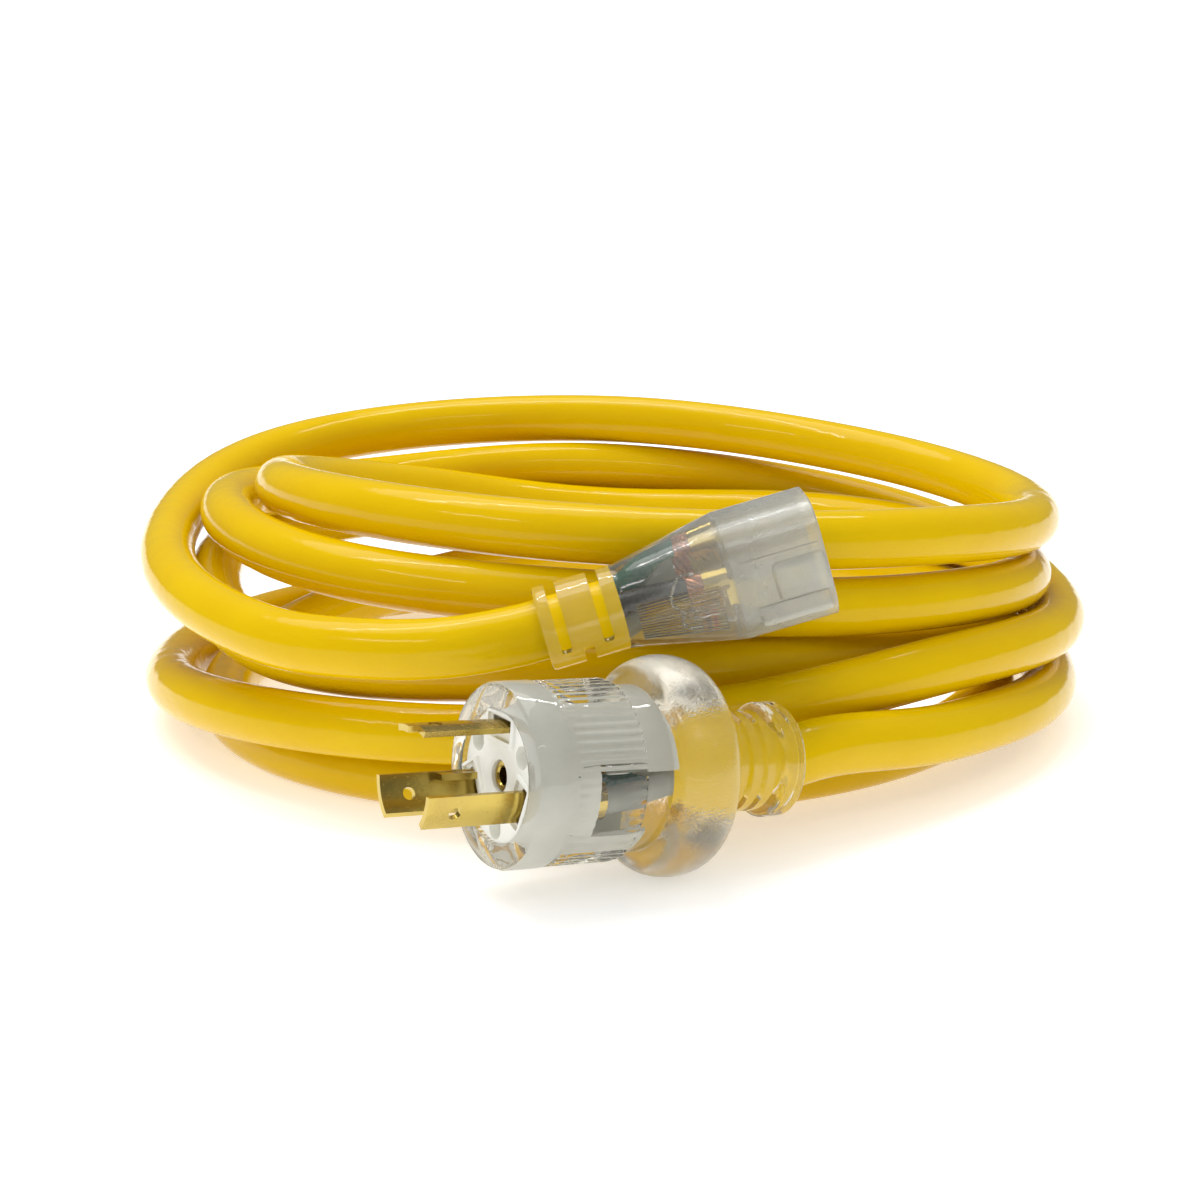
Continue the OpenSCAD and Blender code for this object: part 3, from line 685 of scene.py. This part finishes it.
class POWERCORD_OT_plug_body(PieceOperator, bpy.types.Operator):
    """Clear plug moulding: face ring, fluted band, flange and strain relief"""
    bl_idname = "powercord.plug_body"
    bl_label = "Plug moulding"

    def execute(self, context):
        moulding = context.scene.powercord_moulding
        relief = []
        for start in (54.5, 58.5, 62.5, 66.5):
            relief += [(12.0, start), (12.0, start + 2.2), (11.6, start + 2.5), (10.9, start + 2.7),
                       (10.9, start + 3.6), (11.6, start + 3.8)]
        flange = [(19.0 + 7.0 * math.cos(math.radians(a)) ** 0.6, 44 + 8 * math.sin(math.radians(a)))
                  for a in range(-84, 85, 7)]
        band = [(21.2, h) for h in (10.6, 14, 18, 22, 26, 27.6)]
        outline = ([(15.35, 12.0), (15.35, 0.7), (15.6, 0.1), (16.1, 0), (20.3, 0), (21.0, 0.25),
                    (21.4, 1.0), (21.4, 8.8), (21.2, 9.1), (20.7, 9.3), (20.7, 9.9), (21.0, 10.2)] + band
                   + [(20.9, 27.9), (19.9, 28.1), (19.5, 28.4), (19.5, 33), (19.5, 35.6)] + flange
                   + [(16.0, 52.6), (13.2, 53.2), (12.3, 53.8)] + relief
                   + [(12.0, 70.4), (13.2, 70.7), (13.7, 71.2), (13.7, 75.6), (13.3, 76.2), (12.6, 76.5),
                      (7.9, 76.5), (7.45, 76.1), (7.45, 60), (7.45, 46)])
        sides = moulding.flutes * 4
        skin = turned(outline, sides)
        depth = moulding.flute_depth / MM
        low, high = 10.4 * MM, 27.75 * MM

        def valley(co):
            angle = math.degrees(math.atan2(co.y, co.x)) % 360
            in_window = 166 < angle < 222 and 13 * MM < co.z < 26.5 * MM
            if not low < co.z < high or co.length < 18 * MM or in_window:
                return False
            return round(angle / 360 * sides) % 4 in (2, 3)

        pick(skin, valley)
        share = (21.2 - depth) / 21.2
        bpy.ops.transform.resize(value=(share, share, 1), center_override=(0, 0, 0))
        bpy.ops.object.mode_set(mode="OBJECT")
        dress(set_down(skin, "plug_moulding", ON_PLUG), "plug_clear", "clear_moulding", "plug_body")
        return {"FINISHED"}


class POWERCORD_OT_plug_insert(PieceOperator, bpy.types.Operator):
    """White insert with its blade pads, dimples, shells and eyelet"""
    bl_idname = "powercord.plug_insert"
    bl_label = "Plug insert"

    def execute(self, context):
        body = turned([(3.7, 11), (3.7, 1.4), (4.1, 1.0), (INSERT_R - 0.5, 1.0), (INSERT_R, 1.5),
                       (INSERT_R, INSERT_BACK)], 96)
        for angle in DIMPLE_ANGLES:
            clear_selection()
            bpy.ops.mesh.primitive_cylinder_add(
                vertices=40, radius=DIMPLE_R * MM, depth=5 * MM,
                location=Vector(around(DIMPLE_CIRCLE_R, angle, 1.2)) * MM)
            cut(body, context.object)
        pads = []
        for angle, width in zip(BLADE_ANGLES, BLADE_SLITS):
            pad = block((7.4, width + 4.0, 1.7), (11.0, 0, 1.0), 0.5)
            cut(pad, block((5.4, width + 2.2, 2), (11.3, 0, 0.4), 0.5))
            slot = block((2.6, width + 0.3, 6), (BLADE_CIRCLE_R, 0, 1.0), 0.4)
            for piece in (pad, slot):
                only(piece)
                piece.matrix_world = Matrix.Rotation(math.radians(angle), 4, "Z")
                bpy.ops.object.transform_apply(rotation=True)
            cut(pad, copied(slot))
            cut(body, slot)
            pads.append(pad)
        # the shell over the wires, the one under them, and the cover in front of the window
        shells = [half_shell(INSERT_R - 2.4, INSERT_R - 0.8, INSERT_BACK - 0.5, back, first, last)
                  for back, first, last in ((SHELL_BACK, -2, 168), (33, 222, 330), (18, 169, 221))]
        whole = joined([body, *shells, *pads])
        dress(set_down(whole, "plug_white_insert", ON_PLUG), "insert", "white_insert", "plug_insert")
        eyelet = turned([(2.1, 8.0), (2.1, 2.5), (2.4, 2.1), (3.3, 2.1), (3.6, 2.5), (3.6, 9.0)], 48)
        dress(set_down(eyelet, "plug_eyelet", ON_PLUG), "brass", "brass")
        return {"FINISHED"}


def half_shell(inner, outer, low, high, first, last):
    """Part of a tube about Z, between two angles in degrees."""
    clear_selection()
    bpy.ops.mesh.primitive_plane_add(size=1, location=(0, 0, 0))
    piece = bpy.context.object
    bpy.ops.object.mode_set(mode="EDIT")
    bpy.ops.mesh.select_all(action="SELECT")
    bpy.ops.transform.resize(value=((outer - inner) * MM, (high - low) * MM, 1), center_override=(0, 0, 0))
    bpy.ops.object.mode_set(mode="OBJECT")
    piece.matrix_world = (Matrix.Rotation(math.radians(first), 4, "Z")
                          @ Matrix.Translation(((inner + outer) / 2 * MM, 0, (low + high) / 2 * MM))
                          @ Matrix.Rotation(math.radians(90), 4, "X"))
    only(piece)
    bpy.ops.object.transform_apply(location=True, rotation=True)
    bpy.ops.object.mode_set(mode="EDIT")
    bpy.ops.mesh.select_all(action="SELECT")
    bpy.ops.mesh.spin(steps=48, angle=-math.radians(last - first), center=(0, 0, 0), axis=(0, 0, 1))
    bpy.ops.mesh.select_all(action="SELECT")
    bpy.ops.mesh.select_mode(type="EDGE")
    bpy.ops.mesh.select_all(action="DESELECT")
    bpy.ops.mesh.select_non_manifold()
    bpy.ops.mesh.edge_face_add()
    bpy.ops.object.mode_set(mode="OBJECT")
    return outward(piece)


def swung(start, end, steps=14):
    """A wire's line that leaves and arrives along its moulding's axis."""
    lead = 1.2
    line = [Vector(start)]
    for k in range(steps + 1):
        t = k / steps
        ease = (1 - math.cos(math.pi * t)) / 2
        line.append(Vector((start[0] + (end[0] - start[0]) * ease, start[1] + (end[1] - start[1]) * ease,
                            start[2] + lead + (end[2] - start[2] - 2 * lead) * t)))
    return line + [Vector(end)]


def strand_bundle(middle, low, high):
    """Bare strands, twisted by half a turn, that run along a moulding's axis."""
    strands = []
    for ring, count, radius in ((0.0, 1, 0.45), (0.95, 6, 0.45), (1.85, 12, 0.42)):
        for k in range(count):
            line = []
            for i in range(9):
                t = i / 8
                angle = 360 * (k / count + 0.5 * t * (1 if ring > 1 else -1))
                x, y, _ = around(ring, angle, 0)
                line.append((middle[0] + x, middle[1] + y, low + (high - low) * t))
            strands.append(wire_run(line, radius, 8))
    return joined(strands)


class POWERCORD_OT_plug_wires(PieceOperator, bpy.types.Operator):
    """Insulated conductors and bare strands inside the plug"""
    bl_idname = "powercord.plug_wires"
    bl_label = "Plug wires"

    def execute(self, context):
        for name, angle, lay, slot in PLUG_WIRES:
            line = swung(around(PLUG_BARREL_R, angle, 20.5), around(CORD_LAY_R, lay, JACKET_AT + 1))
            dress(set_down(wire_run(line, WIRE_R), f"plug_{name}_conductor", ON_PLUG),
                  slot, f"{slot}_insulation", f"plug_{name}_wire")
        bundles = [strand_bundle(around(PLUG_BARREL_R, angle, 0)[:2], 14.5, 21) for angle in BLADE_ANGLES]
        dress(set_down(joined(bundles), "plug_bare_strands", ON_PLUG), "copper", "copper_strands",
              "plug_wire_strands")
        return {"FINISHED"}


class POWERCORD_OT_outlet_body(PieceOperator, bpy.types.Operator):
    """Clear outlet moulding: slotted boot, flare and head with its face"""
    bl_idname = "powercord.outlet_body"
    bl_label = "Outlet moulding"

    def execute(self, context):
        skin = outlet_skin()
        for at, low, high in ((4.5, -5, 14), (14.9, -5, 14), (9.7, -14, -5)):
            cut(skin, block((26, high - low, 2.6), (0, (high + low) / 2, at), 0.8))
        for wide, tall, x in ((SLOT_WIDTH, SLOT_HEIGHT, -SLOT_X), (SLOT_WIDTH, SLOT_HEIGHT, SLOT_X),
                              (SLOT_BAR, SLOT_WIDTH, SLOT_X + 1.6)):
            cut(skin, block((wide, tall, SLOT_DEPTH), (x, -SLOT_DROP, SLOT_MIDDLE)))
        clear_selection()
        bpy.ops.mesh.primitive_cylinder_add(vertices=32, radius=SOCKET_R * MM, depth=SLOT_DEPTH * MM,
                                            location=(0, SOCKET_RISE * MM, SLOT_MIDDLE * MM))
        cut(skin, context.object)
        side = HEAD_WIDTH / 2
        cut(skin, block((4, 10, 13.4), (1.1 - side, -1.4, 62.6), 1.6, 4), "UNION")
        cut(skin, block((1.2, 1.0, 19), (0.3 - side, 5.2, 58.5), 0.3), "UNION")
        cut(skin, block((1.2, 5.0, 17), (0.2 - side, -8.6, 59.5), 0.35), "UNION")
        cut(skin, joined(flare_ribs(skin)), "UNION")
        dress(set_down(skin, "outlet_moulding", ON_OUTLET), "outlet_clear", "clear_moulding", "outlet_body")
        return {"FINISHED"}


def flare_ribs(skin):
    """Fine ribs that lie on the near lower side of the flare and fan out to the head."""
    bpy.context.view_layer.update()
    ribs = []
    for k in range(14):
        line = []
        for height in range(23, 44, 4):
            share = 0.66 + 0.34 * (height - BOOT_LENGTH) / (HEAD_START - BOOT_LENGTH)
            start = Vector((-30, (-9.9 + 0.95 * k) * share, height)) * MM
            met, place, _, _ = skin.ray_cast(start, Vector((1, 0, 0)))
            if not met:
                raise RuntimeError("a rib of the flare misses the moulding")
            line.append(tuple(place / MM))
        ribs.append(wire_run(line, 0.3, 8))
    return ribs


def outlet_skin():
    """Head with round corners, bridged to a round boot."""
    clear_selection()
    bpy.ops.mesh.primitive_cube_add(size=1, location=(0, 0, 0))
    head = bpy.context.object
    bpy.ops.object.mode_set(mode="EDIT")
    bpy.ops.mesh.select_all(action="SELECT")
    depth = OUTLET_LENGTH - HEAD_START
    bpy.ops.transform.resize(value=(HEAD_WIDTH * MM, HEAD_HEIGHT * MM, depth * MM), center_override=(0, 0, 0))
    bpy.ops.transform.translate(value=(0, 0, (HEAD_START + depth / 2) * MM))
    pick(head, lambda a, b: abs(a.z - b.z) > 0.01 and abs(a.x) > 0.01, "EDGE")
    bpy.ops.mesh.bevel(offset=HEAD_CORNER * MM, segments=11, affect="EDGES")
    pick(head, lambda face: face.center.z > 69 * MM, "FACE")
    bpy.ops.mesh.bevel(offset=0.6 * MM, segments=3, affect="EDGES")
    pick(head, lambda face: face.center.z < HEAD_START * MM + 1e-5 and abs(face.normal.z) > 0.9, "FACE")
    bpy.ops.mesh.delete(type="FACE")
    bpy.ops.object.mode_set(mode="OBJECT")
    clear_selection()
    bpy.ops.mesh.primitive_circle_add(vertices=48, radius=BOOT_R * MM, location=(0, 0, 0),
                                      rotation=(0, 0, math.radians(3.75)))
    boot = only(bpy.context.object)
    bpy.ops.object.transform_apply(rotation=True)
    bpy.ops.object.mode_set(mode="EDIT")
    bpy.ops.mesh.select_mode(type="EDGE")
    bpy.ops.mesh.select_all(action="SELECT")
    bpy.ops.transform.translate(value=(0, 0, BOOT_LENGTH * MM))
    radius, height = BOOT_R, BOOT_LENGTH
    for wide, high in ((10.4, 20.6), (10.4, 12), (10.4, 1.0), (10.1, 0.3), (9.6, 0), (7.9, 0),
                       (7.45, 0.4), (7.45, 10), (7.45, 18)):
        bpy.ops.mesh.extrude_region_move(TRANSFORM_OT_translate={"value": (0, 0, (high - height) * MM)})
        bpy.ops.transform.resize(value=(wide / radius, wide / radius, 1), center_override=(0, 0, high * MM))
        radius, height = wide, high
    bpy.ops.mesh.extrude_region_move(TRANSFORM_OT_translate={"value": (0, 0, 0)})
    bpy.ops.mesh.merge(type="CENTER")
    bpy.ops.object.mode_set(mode="OBJECT")
    skin = joined([head, boot])
    pick(skin, lambda a, b: (abs(a.z - HEAD_START * MM) < 1e-5 and abs(b.z - HEAD_START * MM) < 1e-5)
         or (abs(a.z - BOOT_LENGTH * MM) < 1e-5 and abs(b.z - BOOT_LENGTH * MM) < 1e-5), "EDGE")
    bpy.ops.mesh.bridge_edge_loops(number_cuts=3)
    bpy.ops.object.mode_set(mode="OBJECT")
    return outward(skin)


class POWERCORD_OT_outlet_wires(PieceOperator, bpy.types.Operator):
    """Insulated conductors and bare strands inside the outlet"""
    bl_idname = "powercord.outlet_wires"
    bl_label = "Outlet wires"

    def execute(self, context):
        for name, barrel, angle, slot in OUTLET_WIRES:
            line = swung(around(CORD_LAY_R, angle, 19), (*barrel, BARREL_AT - 4))
            dress(set_down(wire_run(line, WIRE_R), f"outlet_{name}_conductor", ON_OUTLET),
                  slot, f"{slot}_insulation", f"outlet_{name}_wire")
        bundles = [strand_bundle(barrel, BARREL_AT - 4.5, BARREL_AT + 4.7)
                   for _, barrel, _, _ in OUTLET_WIRES]
        dress(set_down(joined(bundles), "outlet_bare_strands", ON_OUTLET), "copper", "copper_strands",
              "outlet_wire_strands")
        return {"FINISHED"}


class POWERCORD_OT_lamp(PieceOperator, bpy.types.Operator):
    """Power lamp: bulb, electrodes, leads and resistor"""
    bl_idname = "powercord.lamp"
    bl_label = "Power lamp"

    def execute(self, context):
        x, y, low = LAMP
        bulb = turned([(radius, low + high) for radius, high in (
            (0.8, 0.2), (1.9, 0), (2.3, 0.5), (2.3, 6.2), (2.0, 7.1), (1.3, 7.7), (0.5, 8.0))], 40)
        only(bulb)
        bulb.location = (x * MM, y * MM, 0)
        bpy.ops.object.transform_apply(location=True)
        dress(set_down(bulb, "lamp_glass_bulb", ON_OUTLET), "lamp", "lamp_glass", "lamp_bulb")
        posts = [wire_run([(x + side * 0.8, y, low + 0.5), (x + side * 0.8, y, low + 3),
                           (x + side * 0.75, y, low + 6.4)], 0.38, 12) for side in (-1, 1)]
        dress(set_down(joined(posts), "lamp_posts", ON_OUTLET), "tinned", "lamp_metal", "lamp_electrodes")
        across, down, back = RESISTOR
        routes = (((x - 0.8, y, low), (x - 1.0, y + 0.6, low - 2.4), (-9.4, -0.4, 31.5), (-9.6, 2.6, 32.4),
                   (-8.4, 4.9, 34.6), (-6.6, 4.6, 37.0), (-6.35, 4.5, 38.6)),
                  ((x + 0.8, y, low), (x + 0.9, y - 0.6, low - 2.2), (across - 0.5, down + 1.2, low - 2.6),
                   (across, down, low - 0.4), (across, down, back + 0.1)),
                  ((across, down, back + 5.9), (across - 0.6, down - 0.3, back + 8.0), (-8.6, -5.0, 46.0)))
        leads = [wire_run(through([Vector(p) for p in route], 6), 0.33, 12) for route in routes]
        dress(set_down(joined(leads), "lamp_wires", ON_OUTLET), "tinned", "lamp_metal", "lamp_leads")
        body = turned([(radius, back + high) for radius, high in (
            (0.5, 0), (1.1, 0.2), (1.3, 0.8), (1.15, 1.7), (1.1, 4.3), (1.3, 5.2), (1.1, 5.8),
            (0.5, RESISTOR_LENGTH))], 32)
        only(body)
        body.location = (across * MM, down * MM, 0)
        bpy.ops.object.transform_apply(location=True)
        dress(set_down(body, "lamp_resistor_body", ON_OUTLET), "resistor", "resistor_body", "lamp_resistor")
        return {"FINISHED"}


class POWERCORD_OT_stage(PieceOperator, bpy.types.Operator):
    """Pale floor, soft lights and a white room"""
    bl_idname = "powercord.stage"
    bl_label = "Stage"

    def execute(self, context):
        clear_selection()
        bpy.ops.mesh.primitive_plane_add(size=1, location=(0, 0, 0))
        floor = context.object
        floor.name = "floor"
        bpy.ops.object.mode_set(mode="EDIT")
        bpy.ops.mesh.select_all(action="SELECT")
        bpy.ops.transform.resize(value=(60, 60, 1), center_override=(0, 0, 0))
        bpy.ops.mesh.subdivide(number_cuts=6)
        bpy.ops.object.mode_set(mode="OBJECT")
        f = Finish("pale_floor")
        speck = f.noise(f.place(), 90, 2)
        floor.data.materials.append(f.finish(f.shader(
            Base_Color=f.mix(speck, (0.90, 0.90, 0.90), (0.88, 0.88, 0.88)), Roughness=0.6,
            Emission_Color=(1, 1, 1), Emission_Strength=0.42)))
        white_room(context.scene)
        for name, at, aim, size, power in (
                ("strip", (-0.1, 0.45, 1.0), (0, 0.12, 0.03), (1.3, 0.03), 3.6),
                ("left_box", (-0.75, -0.45, 0.75), (0, 0.1, 0.03), (0.45, 0.05), 0.9),
                ("front_box", (0.35, -0.75, 0.9), (0, 0.0, 0.03), (0.5, 0.04), 0.6)):
            bpy.ops.object.light_add(type="AREA", location=at)
            lamp = context.object
            lamp.name = name
            lamp.data.shape = "RECTANGLE"
            lamp.data.size, lamp.data.size_y = size
            lamp.data.energy = power
            lamp.rotation_euler = (Vector(aim) - Vector(at)).to_track_quat("-Z", "Y").to_euler()
        bpy.ops.object.light_add(type="SUN", location=(0, 0, 2),
                                 rotation=(math.radians(-18), math.radians(-14), 0))
        context.object.name = "overhead"
        context.object.data.energy = 1.25
        context.object.data.angle = math.radians(50)
        context.scene.view_settings.view_transform = "Standard"
        return {"FINISHED"}


def white_room(scene):
    """A white room that lights the part softly, darker near the floor."""
    world = bpy.data.worlds.new("room")
    scene.world = world
    world.use_nodes = True
    tree = world.node_tree
    tree.nodes.clear()
    f = Finish.__new__(Finish)
    f.tree = tree
    height = f.parts(f.node("ShaderNodeTexCoord"))[2]
    mirrored = f.node("ShaderNodeLightPath", output="Is Glossy Ray")
    glow = f.node("ShaderNodeBackground", {}, {
        "Color": (1, 1, 1), "Strength": f.spread(height, -0.1, 0.9, 0.45, 0.75) * (1 - mirrored * 0.65)})
    seen = f.node("ShaderNodeBackground", {}, {"Color": (1, 1, 1), "Strength": 1.0})
    mixed = f.node("ShaderNodeMixShader", {}, {0: f.node("ShaderNodeLightPath"), 1: glow, 2: seen})
    out = tree.nodes.new("ShaderNodeOutputWorld")
    tree.links.new(mixed.socket, out.inputs[0])


class POWERCORD_PT_panel(bpy.types.Panel):
    bl_idname = "POWERCORD_PT_panel"
    bl_label = "Power cord"
    bl_space_type = "VIEW_3D"
    bl_region_type = "UI"
    bl_category = "Power cord"

    def draw(self, context):
        layout = self.layout
        for group in (context.scene.powercord_cord, context.scene.powercord_moulding,
                      context.scene.powercord_metal):
            for name in group.bl_rna.properties.keys():
                if name not in ("rna_type", "name"):
                    layout.prop(group, name)
        for piece in STEPS:
            layout.operator(piece.bl_idname)


STEPS = (POWERCORD_OT_camera, POWERCORD_OT_finishes, POWERCORD_OT_cord, POWERCORD_OT_plug_body,
         POWERCORD_OT_plug_insert, POWERCORD_OT_plug_wires, POWERCORD_OT_outlet_body,
         POWERCORD_OT_outlet_wires, POWERCORD_OT_lamp, POWERCORD_OT_stage)
SETTINGS = (CordSettings, MouldingSettings, MetalSettings)


def register():
    for cls in (*SETTINGS, *STEPS, POWERCORD_PT_panel):
        bpy.utils.register_class(cls)
    for name, cls in (("cord", CordSettings), ("moulding", MouldingSettings), ("metal", MetalSettings)):
        setattr(bpy.types.Scene, f"powercord_{name}", bpy.props.PointerProperty(type=cls))


def unregister():
    for name in ("cord", "moulding", "metal"):
        delattr(bpy.types.Scene, f"powercord_{name}")
    for cls in reversed((*SETTINGS, *STEPS, POWERCORD_PT_panel)):
        bpy.utils.unregister_class(cls)


def main():
    register()
    for step in STEPS:
        group, name = step.bl_idname.split(".")
        getattr(getattr(bpy.ops, group), name)()


if __name__ == "__main__":
    main()
